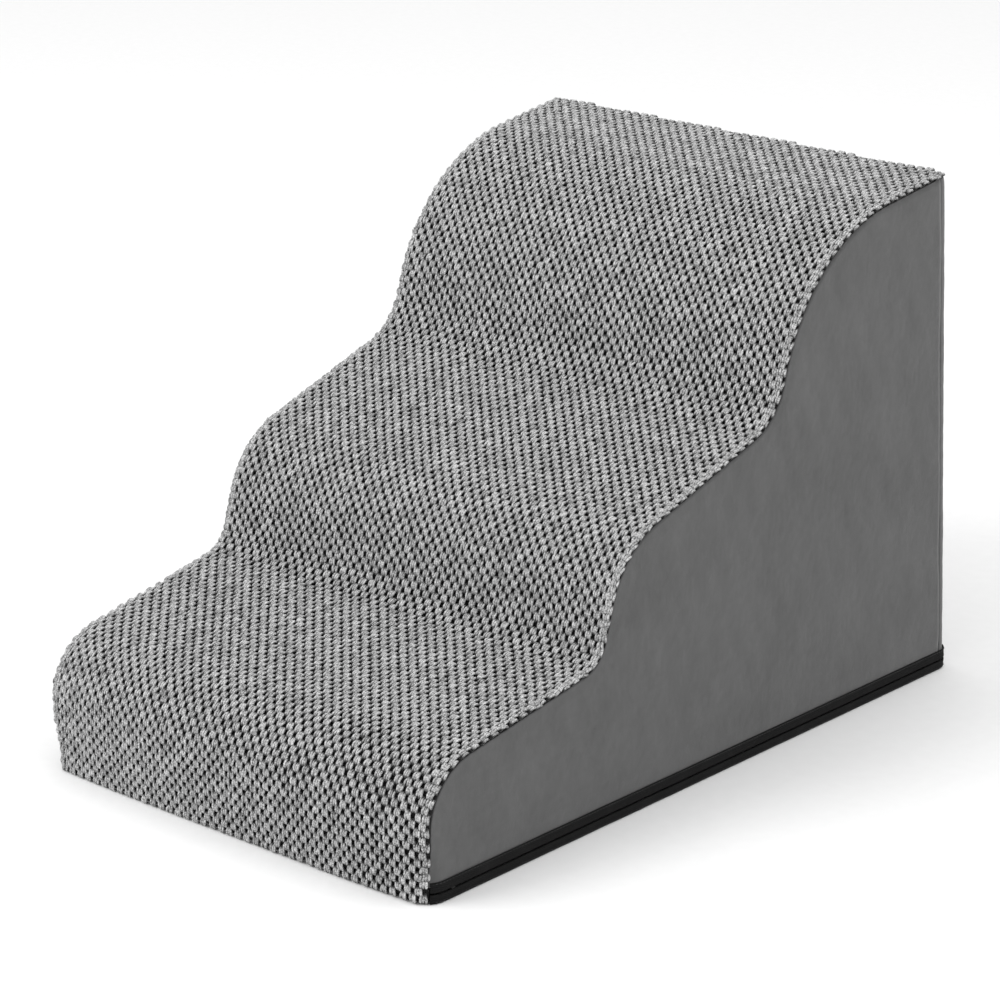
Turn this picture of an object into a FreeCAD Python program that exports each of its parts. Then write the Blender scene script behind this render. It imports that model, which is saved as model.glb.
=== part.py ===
import FreeCAD, Part
import math
import os

# Dog ramp: a three-tier foam block with a wave-shaped top, in a zipped fabric cover.
# X runs across the treads, +Y from the low nose to the tall back wall, +Z up from the floor.
# The origin is on the floor, under the middle of the ramp.  Sizes are in millimetres.

Vector = FreeCAD.Vector

# ---------------------------------------------------------------- driving sizes

WIDTH = 396.0  # across the zip band, at the back foot
LENGTH = 610.0  # along the floor
HEIGHT = 408.0  # floor to crest
NOSE_TAPER = 10.0  # how much narrower each side is at the nose than at the back foot
BACK_LEAN = 18.0  # how far the back wall leans forward over its height
CORNER_R = 16.0  # upright corners, seen from above
CREST_R = 10.0  # where the top tread turns down into the back wall
CREST_RISE = 1.12  # how far the crest's sharp corner would stand above its rounded top

FRONT = -LENGTH / 2
BACK = LENGTH / 2

# Corners of the side profile as (y, z, radius), from the front foot over the wave to the back foot.
PROFILE = [
    (FRONT, 0.0, 0.0),
    (FRONT, 97.0, 52.0),  # nose, and first tread's front edge
    (-126.0, 127.0, 26.0),  # foot of the second tier's riser
    (-102.0, 206.0, 74.0),  # second tread's front edge
    (71.0, 260.0, 50.0),  # foot of the third tier's riser
    (110.0, 387.0, 150.0),  # third tread's front edge
    (BACK - BACK_LEAN, HEIGHT + CREST_RISE, CREST_R),
    (BACK, 0.0, 0.0),
]
BACK_EDGE = 6  # the profile's edge that is the back wall; the edges before it are the wave
BASE_EDGE = 7  # the profile's edge that lies on the floor

# Cover
TREAD_PILE = 5.0  # knobbly loop fabric with its backing
SUEDE = 1.6
BASE_CLOTH = 2.0  # anti-slip cloth with its rubber dots
SUEDE_FOOT = 13.0  # height of the suede's lower edge, behind the upper zip tape
CREST_SEAM = 9.0  # how far in front of the back wall the loop fabric ends
SIDE_SEAM = CORNER_R + 2.0  # how far in front of the back wall the side panels end

# Zip, in a band round the foot on the right side, the back and the left side
TAPE = 0.9
TAPE_CLEAR = 0.1  # between a tape and what it is sewn over
CHAIN_Z = 8.0  # height of the line where the two rows of coil meet
CHAIN_GAP = 1.4  # slot between the two tapes, for the slider's neck
LOWER_TAPE_FOOT = 0.6
UPPER_TAPE_TOP = 16.5
COIL_WIDE = 2.7
COIL_THICK = 2.4
BAND_START = FRONT + TREAD_PILE + 0.3  # both tapes start at the loop fabric's seam

# Slider, on the left side at the closed end of the zip
SLIDER_Y = FRONT + 33.0
SLIDER_LONG = 12.0
SLIDER_HIGH = 9.0
SLIDER_PLATE = 1.2
SLIDER_CLEAR = 0.4
SLIDER_EDGE_R = 1.5
NECK_LONG = 3.5
NECK_HIGH = 0.7
FLANGE = 0.8
BRIDGE_LONG = 6.8  # over both legs
BRIDGE_LEG = 1.0
BRIDGE_WIDE = 2.5
EYE_HIGH = 1.8  # opening under the bridge
STOP_LONG = 3.0
STOP_CLEAR = 0.5
STOP_PLATE = 0.8
STOP_SPLIT = 0.2  # between the two top stops

# Pull tab, hung on the slider's bridge
PULL_LONG = 22.0
PULL_WIDE = 5.2
PULL_THICK = 1.2
PULL_TIP_R = 1.6  # corners of the free end
PULL_WINDOW = 4.6  # from the bar's axis to the far edge of the window

# Filling
LOOSE_FIT = 0.3  # between one layer and the next
LINER = 0.6
TOPPER = 30.0
ZIP_ROOM_DEEP = 16.0  # the filling's lower edges are bevelled, to leave room for the slider
ZIP_ROOM_HIGH = 24.0

OVERSIZE = 50.0  # how far a cutting shape reaches past what it cuts

# Depths in from the wall's outer face, which is the outside of the zip band
SUEDE_OUT = TAPE + TAPE_CLEAR
SUEDE_IN = SUEDE_OUT + SUEDE
COIL_OUT = TAPE + TAPE_CLEAR
COIL_IN = COIL_OUT + COIL_THICK

# ---------------------------------------------------------------- outlines


def inset_corners(corners, insets):
    """Move each edge of a closed outline inwards; edge i runs from corner i to the next one."""
    count = len(corners)
    area = 0.0
    for i in range(count):
        (u0, v0), (u1, v1) = corners[i][:2], corners[(i + 1) % count][:2]
        area += u0 * v1 - u1 * v0
    inward = 1.0 if area > 0 else -1.0
    edges = []
    for i in range(count):
        (u0, v0), (u1, v1) = corners[i][:2], corners[(i + 1) % count][:2]
        run = math.hypot(u1 - u0, v1 - v0)
        du, dv = (u1 - u0) / run, (v1 - v0) / run
        normal_u, normal_v = -dv * inward, du * inward
        edges.append((u0 + normal_u * insets[i], v0 + normal_v * insets[i], du, dv))
    moved = []
    for i in range(count):
        u0, v0, du0, dv0 = edges[i - 1]
        u1, v1, du1, dv1 = edges[i]
        cross = du0 * dv1 - dv0 * du1
        along = ((u1 - u0) * dv1 - (v1 - v0) * du1) / cross
        depth = max(insets[i - 1], insets[i])
        turns_in = cross * inward > 0
        radius = corners[i][2]
        if radius > 0:
            radius = max(radius - depth, 0.5) if turns_in else radius + depth
        moved.append((u0 + du0 * along, v0 + dv0 * along, radius))
    return moved


def rounded_face(corners, to_point):
    """Closed flat face through the corners, each rounded to its own radius."""
    count = len(corners)
    ends = []
    for i in range(count):
        here = Vector(corners[i][0], corners[i][1], 0)
        back = Vector(corners[i - 1][0], corners[i - 1][1], 0) - here
        ahead = Vector(corners[(i + 1) % count][0], corners[(i + 1) % count][1], 0) - here
        back.normalize()
        ahead.normalize()
        half = back.getAngle(ahead) / 2
        radius = corners[i][2]
        reach = radius / math.tan(half)
        middle = back + ahead
        middle.normalize()
        crown = radius / math.sin(half) - radius
        ends.append((here + back * reach, here + middle * crown, here + ahead * reach, radius))
    edges = []
    for i in range(count):
        start, crown, stop, radius = (to_point(p) if isinstance(p, Vector) else p for p in ends[i])
        if radius > 0:
            edges.append(Part.Arc(start, crown, stop).toShape())
        following = to_point(ends[(i + 1) % count][0])
        edges.append(Part.LineSegment(stop, following).toShape())
    return Part.Face(Part.Wire(edges))


def box(low, high):
    """Box from its lowest to its highest corner."""
    size = [b - a for a, b in zip(low, high)]
    return Part.makeBox(*size, Vector(*low))


# ---------------------------------------------------------------- block shapes


def profile_block(wave=0.0, back=0.0, base=0.0):
    """The side profile, moved in by these depths, right across the ramp."""
    insets = [wave] * len(PROFILE)
    insets[BACK_EDGE] = back
    insets[BASE_EDGE] = base
    left = -WIDTH / 2 - OVERSIZE
    face = rounded_face(inset_corners(PROFILE, insets), lambda p: Vector(left, p.x, p.y))
    return face.extrude(Vector(WIDTH + 2 * OVERSIZE, 0, 0))


def plan_block(side=0.0, back=None, front=None):
    """The outline from above, moved in by these depths, raised along the back wall's lean."""
    back = side if back is None else back
    front = side if front is None else front
    nose = WIDTH / 2 - NOSE_TAPER
    corners = [
        (-nose, FRONT, CORNER_R),
        (nose, FRONT, CORNER_R),
        (WIDTH / 2, BACK, CORNER_R),
        (-WIDTH / 2, BACK, CORNER_R),
    ]
    face = rounded_face(inset_corners(corners, [front, side, back, side]), lambda p: p)
    rise = Vector(0, -BACK_LEAN, HEIGHT)
    return face.extrude(rise * (1 + OVERSIZE / HEIGHT))


def half(right):
    """Everything on one side of the ramp's middle plane."""
    reach = WIDTH + OVERSIZE
    low_x, high_x = (0, reach) if right else (-reach, 0)
    return box((low_x, FRONT - OVERSIZE, -OVERSIZE), (high_x, BACK + OVERSIZE, HEIGHT + OVERSIZE))


def above(low_z, high_z=HEIGHT + OVERSIZE, from_y=FRONT - OVERSIZE):
    """Everything between two heights, behind a given place."""
    reach = WIDTH / 2 + OVERSIZE
    return box((-reach, from_y, low_z), (reach, BACK + OVERSIZE, high_z))


def wall_frame(y, right):
    """Placement on a side wall: local X out of the wall, Z up; local Y is level, along the wall."""
    lean = math.atan2(NOSE_TAPER, LENGTH)
    x = WIDTH / 2 - NOSE_TAPER * (BACK - y) / LENGTH
    angle = -lean if right else math.pi + lean
    spot = Vector(x if right else -x, y, 0)
    return FreeCAD.Placement(spot, FreeCAD.Rotation(Vector(0, 0, 1), math.degrees(angle)))


def on_wall(shape, y, right=False):
    """Copy of a shape made in a side wall's own directions, set on that wall."""
    placed = shape.copy()
    placed.Placement = wall_frame(y, right)
    return placed


# ---------------------------------------------------------------- cover


def cover_panels():
    """The sewn panels: loop fabric over the wave, suede on both sides and the back."""
    cover = profile_block().common(plan_block(0.0))
    under_tread = profile_block(wave=TREAD_PILE).common(plan_block(SUEDE_OUT))
    over_tread = cover.cut(profile_block(wave=TREAD_PILE)).common(above(BASE_CLOTH))
    crest_cut = plan_block(0.0, back=CREST_SEAM)
    tread = over_tread.common(crest_cut)
    crest_roll = over_tread.cut(crest_cut).common(plan_block(SUEDE_OUT))
    walls = under_tread.cut(plan_block(SUEDE_IN)).common(above(SUEDE_FOOT))
    side_cut = plan_block(0.0, back=SIDE_SEAM)
    sides = walls.common(side_cut)
    return {
        "cover_tread": tread,
        "cover_back": walls.cut(side_cut).fuse(crest_roll).removeSplitter(),
        "cover_side_left": sides.common(half(False)),
        "cover_side_right": sides.common(half(True)),
    }


def base_panel():
    """Anti-slip cloth that the ramp stands on."""
    return plan_block(SUEDE_OUT).common(above(0.0, BASE_CLOTH))


# ---------------------------------------------------------------- zip


def band(depth_out, depth_in, low_z, high_z, from_y):
    """Strip round the foot, between two depths and two heights; none along the front."""
    ring = plan_block(depth_out).cut(plan_block(depth_in))
    return ring.common(above(low_z, high_z, from_y))


def zip_bands():
    """Two tapes, and the two rows of coil behind them."""
    lower_edge = CHAIN_Z - CHAIN_GAP / 2
    upper_edge = CHAIN_Z + CHAIN_GAP / 2
    coil_start = BAND_START + CORNER_R / 2
    return {
        "zip_tape_lower": band(0.0, TAPE, LOWER_TAPE_FOOT, lower_edge, BAND_START),
        "zip_tape_upper": band(0.0, TAPE, upper_edge, UPPER_TAPE_TOP, BAND_START),
        "zip_coil_lower": band(COIL_OUT, COIL_IN, lower_edge - COIL_WIDE, lower_edge, coil_start),
        "zip_coil_upper": band(COIL_OUT, COIL_IN, upper_edge, upper_edge + COIL_WIDE, coil_start),
    }


def clip(low_z, high_z, web_low, web_high):
    """Metal clip pressed over tape and coil: a plate each side, joined by a web in the slot."""
    inner = -(COIL_IN + TAPE_CLEAR)
    outer_plate = box((TAPE_CLEAR, 0, low_z), (TAPE_CLEAR + STOP_PLATE, STOP_LONG, high_z))
    inner_plate = box((inner - STOP_PLATE, 0, low_z), (inner, STOP_LONG, high_z))
    web = box((inner - STOP_PLATE, 0, web_low), (TAPE_CLEAR + STOP_PLATE, STOP_LONG, web_high))
    return outer_plate.fuse(inner_plate).fuse(web).removeSplitter()


def zip_stops():
    """Two clips that stop the slider when it is closed, and the one that joins the other end."""
    reach = COIL_WIDE + CHAIN_GAP / 2 + FLANGE / 2
    near = STOP_SPLIT / 2
    far = CHAIN_GAP / 2 - STOP_SPLIT / 2
    lower = clip(CHAIN_Z - reach, CHAIN_Z - near, CHAIN_Z - far, CHAIN_Z - near)
    upper = clip(CHAIN_Z + near, CHAIN_Z + reach, CHAIN_Z + near, CHAIN_Z + far)
    half_web = NECK_HIGH / 2
    joined = clip(CHAIN_Z - reach, CHAIN_Z + reach, CHAIN_Z - half_web, CHAIN_Z + half_web)
    place = SLIDER_Y - SLIDER_LONG / 2 - STOP_CLEAR
    return {
        "zip_top_stops": Part.makeCompound([on_wall(lower, place), on_wall(upper, place)]),
        "zip_bottom_stop": on_wall(joined, place - STOP_LONG, right=True),
    }


def slider():
    """Slider body: a plate each side of the chain, a neck through the slot, and a bridge."""
    half_long = SLIDER_LONG / 2
    low_z = CHAIN_Z - SLIDER_HIGH / 2
    high_z = CHAIN_Z + SLIDER_HIGH / 2
    inner_face = -(COIL_IN + SLIDER_CLEAR)
    outer = box((SLIDER_CLEAR, -half_long, low_z), (SLIDER_CLEAR + SLIDER_PLATE, half_long, high_z))
    inner = box((inner_face - SLIDER_PLATE, -half_long, low_z), (inner_face, half_long, high_z))
    outer = rounded_plate(outer)
    inner = rounded_plate(inner)
    neck_z = CHAIN_Z - NECK_HIGH / 2
    neck = box(
        (inner_face, half_long - NECK_LONG - SLIDER_EDGE_R, neck_z),
        (SLIDER_CLEAR, half_long - SLIDER_EDGE_R, neck_z + NECK_HIGH),
    )
    body = outer.fuse(inner).fuse(neck)
    flange_out = -(TAPE + SLIDER_CLEAR)
    flange_end = half_long - SLIDER_EDGE_R
    for edge_z in (low_z, high_z - FLANGE):
        flange = box((inner_face, -flange_end, edge_z), (flange_out, flange_end, edge_z + FLANGE))
        body = body.fuse(flange)
    return on_wall(body.fuse(bridge()).removeSplitter(), SLIDER_Y)


def rounded_plate(plate):
    """A slider plate with its four corners rounded, seen from outside."""
    level = [e for e in plate.Edges if abs(e.tangentAt(e.FirstParameter).x) > 0.99]
    return plate.makeFillet(SLIDER_EDGE_R, level)


def bridge():
    """Strap on the slider's outer plate, which the pull tab hangs on."""
    foot = SLIDER_CLEAR + SLIDER_PLATE
    top = foot + EYE_HIGH + BRIDGE_LEG
    half_long = BRIDGE_LONG / 2
    half_wide = BRIDGE_WIDE / 2
    strap = box((foot, -half_long, CHAIN_Z - half_wide), (top, half_long, CHAIN_Z + half_wide))
    upper = [e for e in strap.Edges if is_outer_corner(e, top, half_long)]
    strap = strap.makeFillet(BRIDGE_LEG, upper)
    eye_end = half_long - BRIDGE_LEG
    eye = box((foot, -eye_end, CHAIN_Z - half_wide), (foot + EYE_HIGH, eye_end, CHAIN_Z + half_wide))
    return strap.cut(eye)


def is_outer_corner(edge, top, half_long):
    """True for the strap's two upright edges that are furthest out and at its ends."""
    middle = edge.CenterOfMass
    return abs(middle.x - top) < 0.01 and abs(abs(middle.y) - half_long) < 0.01


def pull_axis():
    """Distance of the pull tab's hinge line out from the zip band."""
    return SLIDER_CLEAR + SLIDER_PLATE + EYE_HIGH / 2


def pull_tab():
    """Flat tab whose end bar lies under the slider's bridge; at rest it points to the back."""
    axis = pull_axis()
    half_thick = PULL_THICK / 2
    half_wide = PULL_WIDE / 2
    low_z = CHAIN_Z - half_wide
    high_z = CHAIN_Z + half_wide
    plate = box((axis - half_thick, -PULL_LONG, low_z), (axis + half_thick, 0, high_z))
    ends = [e for e in plate.Edges if is_tip_corner(e)]
    plate = plate.makeFillet(PULL_TIP_R, ends)
    low_arm = CHAIN_Z - BRIDGE_WIDE / 2 - SLIDER_CLEAR
    high_arm = CHAIN_Z + BRIDGE_WIDE / 2 + SLIDER_CLEAR
    window = box(
        (axis - PULL_THICK, -PULL_WINDOW, low_arm),
        (axis + PULL_THICK, PULL_THICK, high_arm),
    )
    bar = Part.makeCylinder(half_thick, PULL_WIDE, Vector(axis, 0, low_z))
    return on_wall(plate.cut(window).fuse(bar).removeSplitter(), SLIDER_Y)


def is_tip_corner(edge):
    """True for the two edges through the tab's thickness at its free end."""
    across = abs(edge.tangentAt(edge.FirstParameter).x) > 0.99
    return across and edge.CenterOfMass.y < -PULL_LONG + 0.01


# ---------------------------------------------------------------- filling


def bevel_cut(start, stop, depth):
    """Wedge along one wall's foot, outside a sloping line; start and stop are on the wall's face."""
    along = stop - start
    along.normalize()
    inward = Vector(-along.y, along.x, 0)
    grow = 1 + depth * math.hypot(1 / ZIP_ROOM_DEEP, 1 / ZIP_ROOM_HIGH)
    deep = ZIP_ROOM_DEEP * grow
    high = ZIP_ROOM_HIGH * grow
    reach_up = high * (1 + OVERSIZE / deep)
    section = [(deep, 0), (deep, -OVERSIZE), (-OVERSIZE, -OVERSIZE), (-OVERSIZE, reach_up)]
    begin = start - along * OVERSIZE
    points = [begin + inward * n + Vector(0, 0, z) for n, z in section]
    face = Part.Face(Part.makePolygon(points + points[:1]))
    return face.extrude(along * ((stop - start).Length + 2 * OVERSIZE))


def filling_block(depth, wave_depth=None):
    """The space inside the cover, less a layer of this depth, with bevelled lower edges."""
    wave_depth = depth if wave_depth is None else wave_depth
    wave = TREAD_PILE + wave_depth
    block = profile_block(wave=wave, back=SUEDE_IN + depth, base=BASE_CLOTH + depth)
    block = block.common(plan_block(SUEDE_IN + depth))
    nose = WIDTH / 2 - NOSE_TAPER
    foot = [
        Vector(nose, FRONT, 0),
        Vector(WIDTH / 2, BACK, 0),
        Vector(-WIDTH / 2, BACK, 0),
        Vector(-nose, FRONT, 0),
    ]
    for start, stop in zip(foot[:-1], foot[1:]):
        block = block.cut(bevel_cut(start, stop, depth))
    return block


def filling():
    """Foam core, the softer topper on its wave, and the sewn panels of the liner round both."""
    bag_out = filling_block(LOOSE_FIT)
    bag_in = filling_block(LOOSE_FIT + LINER)
    bag = bag_out.cut(bag_in)
    side_depth = SUEDE_IN + LOOSE_FIT + LINER
    side_parts = bag.cut(plan_block(side_depth, back=0.0, front=-OVERSIZE))
    foam_depth = 2 * LOOSE_FIT + LINER
    foam = filling_block(foam_depth)
    core = filling_block(foam_depth, foam_depth + TOPPER + LOOSE_FIT)
    topper_floor = filling_block(foam_depth, foam_depth + TOPPER)
    return {
        "foam_core": core,
        "foam_topper": foam.cut(topper_floor),
        "liner_wrap": bag.common(plan_block(side_depth, back=0.0, front=-OVERSIZE)),
        "liner_side_left": side_parts.common(half(False)),
        "liner_side_right": side_parts.common(half(True)),
    }


# ---------------------------------------------------------------- all nodes


def make_nodes():
    """Every separate piece of the ramp, by its node's name."""
    nodes = {"base_panel": base_panel(), "zip_slider": slider(), "zip_pull_tab": pull_tab()}
    nodes.update(cover_panels())
    nodes.update(zip_bands())
    nodes.update(zip_stops())
    nodes.update(filling())
    return nodes


def main():
    os.makedirs("parts", exist_ok=True)
    for name, shape in sorted(make_nodes().items()):
        shape.exportStep(os.path.join("parts", name + ".step"))
        size = shape.BoundBox
        state = "valid" if shape.isValid() else "NOT VALID"
        volume = shape.Volume / 1000
        print(f"{name:18s} {len(shape.Solids)} solid(s) {state} {volume:9.2f} cm3", end="  ")
        print(f"{size.XLength:6.1f} x {size.YLength:6.1f} x {size.ZLength:6.1f} mm")


main()
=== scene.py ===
"""Dog ramp: a three-tier foam block in a zipped cover, dressed round its CAD frame.

X runs across the treads, +Y from the low nose to the tall back wall, +Z up from the floor.
Sizes are in millimetres; a mesh is written in metres.
"""

import logging
import math
from dataclasses import dataclass, field
from enum import Enum
from typing import Any, Sequence

import bpy
import numpy as np
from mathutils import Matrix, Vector


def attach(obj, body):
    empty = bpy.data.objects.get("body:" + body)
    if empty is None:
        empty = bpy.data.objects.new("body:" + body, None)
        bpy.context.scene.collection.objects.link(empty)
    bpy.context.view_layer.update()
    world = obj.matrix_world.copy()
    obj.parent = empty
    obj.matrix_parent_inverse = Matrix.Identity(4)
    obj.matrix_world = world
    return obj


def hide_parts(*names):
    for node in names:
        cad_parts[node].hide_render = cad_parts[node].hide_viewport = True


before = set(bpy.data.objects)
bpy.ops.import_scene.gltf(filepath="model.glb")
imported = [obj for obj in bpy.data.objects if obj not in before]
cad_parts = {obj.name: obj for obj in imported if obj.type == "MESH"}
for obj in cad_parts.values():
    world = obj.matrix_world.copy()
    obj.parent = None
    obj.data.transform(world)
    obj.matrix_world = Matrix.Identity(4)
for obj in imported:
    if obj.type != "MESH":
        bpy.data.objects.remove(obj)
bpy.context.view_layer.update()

MM = 0.001
SEED = 20
LOG = logging.getLogger("dog_ramp")

Array = np.ndarray
Piece = bpy.types.Object


class Slot(Enum):
    """Material slots of the record."""

    LOOP_FABRIC = "loop_fabric"
    SUEDE = "suede"
    BASE_CLOTH = "base_cloth"
    ZIP_TAPE = "zip_tape"
    ZIP_COIL = "zip_coil"
    ZIP_METAL = "zip_metal"
    SUPPORT_FOAM = "support_foam"
    COMFORT_FOAM = "comfort_foam"
    LINER_CLOTH = "liner_cloth"


class Side(Enum):
    """The two side walls, by the sign of X."""

    LEFT = -1
    RIGHT = 1


# ---------------------------------------------------------------- shader expressions


@dataclass(frozen=True)
class Shade:
    """A node's output that can be used in sums, as a number is."""

    graph: "Graph"
    socket: bpy.types.NodeSocket

    def maths(self, operation: str, first: Any, second: Any = 0.0) -> "Shade":
        """Result of a Math node on two values."""
        return self.graph.node("ShaderNodeMath", {"operation": operation}, {0: first, 1: second})

    def __add__(self, other: Any) -> "Shade":
        """self + other."""
        return self.maths("ADD", self, other)

    __radd__ = __add__

    def __sub__(self, other: Any) -> "Shade":
        """self - other."""
        return self.maths("SUBTRACT", self, other)

    def __rsub__(self, other: Any) -> "Shade":
        """other - self."""
        return self.maths("SUBTRACT", other, self)

    def __mul__(self, other: Any) -> "Shade":
        """self * other."""
        return self.maths("MULTIPLY", self, other)

    __rmul__ = __mul__

    def above(self, low: float, high: float) -> "Shade":
        """0 below low, 1 above high, and smooth in between."""
        settings = {"interpolation_type": "SMOOTHSTEP"}
        return self.graph.node("ShaderNodeMapRange", settings, {0: self, 1: low, 2: high})


class Graph:
    """A new material and the node graph behind its Principled shader."""

    def __init__(self, name: str) -> None:
        """Make the material with its shader and output only.

        Args:
            name: The material's name.
        """
        self.material = bpy.data.materials.new(name)
        self.material.use_nodes = True
        self.tree = self.material.node_tree
        self.tree.nodes.clear()
        self.shader = self.tree.nodes.new("ShaderNodeBsdfPrincipled")
        output = self.tree.nodes.new("ShaderNodeOutputMaterial")
        self.tree.links.new(self.shader.outputs["BSDF"], output.inputs["Surface"])

    def node(
        self,
        kind: str,
        settings: dict[str, Any] | None = None,
        sockets: dict[int | str, Any] | None = None,
        output: int | str = 0,
    ) -> Shade:
        """Add a node.

        Args:
            kind: The node's type.
            settings: Its properties.
            sockets: Values or links of its inputs.
            output: Which output to use.

        Returns:
            The output, as an expression.
        """
        node = self.tree.nodes.new(kind)
        for key, value in (settings or {}).items():
            setattr(node, key, value)
        for key, value in (sockets or {}).items():
            self.feed(node.inputs[key], value)
        return Shade(self, node.outputs[output])

    def feed(self, socket: bpy.types.NodeSocket, value: Any) -> None:
        """Link an expression to an input, or set the input's value.

        Args:
            socket: The input.
            value: An expression, a number, or a tuple.
        """
        if isinstance(value, Shade):
            self.tree.links.new(value.socket, socket)
        elif socket.type == "RGBA":
            socket.default_value = as_colour(value)
        else:
            socket.default_value = value

    def place(self) -> Shade:
        """Position on the piece, in metres."""
        return self.node("ShaderNodeTexCoord", output="Object")

    def stretched(self, scale: Sequence[float], turn: Sequence[float] = (0, 0, 0)) -> Shade:
        """Position on the piece, scaled along each axis and turned."""
        sockets = {"Vector": self.place(), "Scale": scale, "Rotation": turn}
        return self.node("ShaderNodeMapping", {}, sockets)

    def noise(self, scale: float, detail: float = 2.0, where: Shade | None = None) -> Shade:
        """Soft random pattern, about 0.5.

        Args:
            scale: How many blobs to a metre.
            detail: How many finer layers it has.
            where: Where it is read; the piece's own position if not given.

        Returns:
            The pattern's value.
        """
        sockets = {"Vector": where or self.place(), "Scale": scale, "Detail": detail}
        return self.node("ShaderNodeTexNoise", {}, sockets)

    def wave(self, scale: float, where: Shade) -> Shade:
        """Bands along X of the given position, from 0 to 1."""
        sockets = {"Vector": where, "Scale": scale, "Distortion": 0.6, "Detail": 1.0}
        return self.node("ShaderNodeTexWave", {"bands_direction": "X"}, sockets)

    def tint(self, factor: Any, low: Any, high: Any) -> Shade:
        """Mix of two colours."""
        settings = {"data_type": "RGBA"}
        return self.node("ShaderNodeMix", settings, {0: factor, 6: low, 7: high}, 2)

    def bump(self, height: Shade, rise: float, under: Shade | None = None) -> Shade:
        """Normal from a height pattern.

        Args:
            height: The pattern, from 0 to 1.
            rise: How high 1 stands, in metres.
            under: A normal that this one is added to.

        Returns:
            The normal.
        """
        sockets: dict[int | str, Any] = {"Height": height, "Distance": rise, "Strength": 1.0}
        if under is not None:
            sockets["Normal"] = under
        return self.node("ShaderNodeBump", {}, sockets)

    def shade(self, **inputs: Any) -> bpy.types.Material:
        """Set the shader's inputs, by their names with _ for a space.

        Args:
            **inputs: Values or expressions.

        Returns:
            The finished material.
        """
        for key, value in inputs.items():
            self.feed(self.shader.inputs[key.replace("_", " ")], value)
        return self.material


def as_colour(value: Any) -> tuple[float, float, float, float]:
    """A grey level or a three-part colour as four parts."""
    parts = (value,) * 3 if isinstance(value, (int, float)) else tuple(value)[:3]
    return (*parts, 1.0)


# ---------------------------------------------------------------- finishes


@dataclass(frozen=True)
class LoopYarn:
    """Soft grey chenille yarn; each loop's own tone and height are on its mesh, and low on each strand it
    is painted dark as painted shade.
    """

    # The root colour is painted shade: the near-black that the yarn darkens to low on each strand,
    # between the knobs.
    root: float = 0.010
    dull: float = 0.06
    # The top of the fibre tone is partly the yarn's light fibres, partly painted highlight.
    bright_and_highlight: float = 0.84
    fibre: float = 900.0

    def make(self) -> bpy.types.Material:
        """The yarn's material."""
        graph = Graph("loop_yarn")
        tone = graph.node("ShaderNodeAttribute", {"attribute_name": "tone"}, output="Fac")
        rise = graph.node("ShaderNodeAttribute", {"attribute_name": "rise"}, output="Fac")
        fibre = graph.noise(self.fibre, 3.0)
        streak = graph.noise(240.0, 2.0, graph.stretched((1.0, 0.35, 0.35)))
        # Random fibre and streak tone, its contrast widened so the brightest fibres also act as painted
        # highlights.
        level = 0.4 * tone + 0.65 * fibre.above(0.3, 0.7) + 0.15 * (streak - 0.85)
        body = graph.tint(level, self.dull, self.bright_and_highlight)
        # Painted shade: the yarn darkens to the root colour towards the ground, where the knobs shade
        # each other.
        colour = graph.tint(rise.above(0.52, 1.04), self.root, body)
        return graph.shade(
            Base_Color=colour,
            Roughness=0.72 + 0.2 * fibre,
            Specular_IOR_Level=0.35,
            Sheen_Weight=0.35,
            Sheen_Roughness=0.45,
            Normal=graph.bump(fibre, 0.0009),
        )


@dataclass(frozen=True)
class OpenMesh:
    """Near-black knitted ground that the loops stand on; its darkness is partly its own knit, partly
    painted shade for the deep holes between the knobs.
    """

    # Both colours are near-black partly as painted shade for the holes between the knobs.
    thread: float = 0.020
    gap: float = 0.006

    def make(self) -> bpy.types.Material:
        """The ground's material."""
        graph = Graph("loop_ground")
        across = graph.wave(220.0, graph.place())
        along = graph.wave(220.0, graph.stretched((1, 1, 1), (0, 0, math.pi / 2)))
        knit = across * along
        return graph.shade(
            # The knit's openings are painted darker than its threads, as painted shade.
            Base_Color=graph.tint(knit, self.gap, self.thread),
            Roughness=0.9 - 0.1 * knit,
            Normal=graph.bump(knit, 0.0004),
        )


@dataclass(frozen=True)
class Suede:
    """Short brushed pile, mottled where it lies in different directions."""

    dark: float = 0.058
    light: float = 0.115

    def make(self) -> bpy.types.Material:
        """The suede's material."""
        graph = Graph("brushed_suede")
        brushed = graph.stretched((1.0, 1.0, 0.8))
        cloud = graph.noise(22.0, 3.0, brushed)
        mottle = graph.noise(160.0, 4.0, brushed)
        pile = graph.noise(2600.0, 2.0)
        level = 0.7 * (cloud - 0.5) + 0.45 * (mottle - 0.5) + 0.5 * (pile - 0.5) + 0.5
        nap = graph.bump(mottle, 0.0004)
        return graph.shade(
            Base_Color=graph.tint(level, self.dark, self.light),
            Roughness=0.78 + 0.2 * pile,
            Specular_IOR_Level=0.2,
            Sheen_Weight=0.25,
            Sheen_Roughness=0.5,
            Normal=graph.bump(pile, 0.00025, nap),
        )


@dataclass(frozen=True)
class WovenTape:
    """Black herringbone tape."""

    dark: float = 0.003
    light: float = 0.012
    threads: float = 330.0

    def make(self) -> bpy.types.Material:
        """The tape's material."""
        graph = Graph("zip_tape_weave")
        rising = graph.wave(self.threads, graph.stretched((1, 1, 1), (0.0, 0.7, 0.4)))
        falling = graph.wave(self.threads, graph.stretched((1, 1, 1), (0.0, -0.7, 0.4)))
        weave = 0.5 * rising + 0.5 * falling
        dust = graph.noise(60.0, 4.0)
        level = 0.6 * weave + 0.6 * dust.above(0.45, 0.8)
        return graph.shade(
            Base_Color=graph.tint(level, self.dark, self.light),
            Roughness=0.72 + 0.2 * dust,
            Specular_IOR_Level=0.15,
            Normal=graph.bump(weave, 0.00035),
        )


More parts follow.
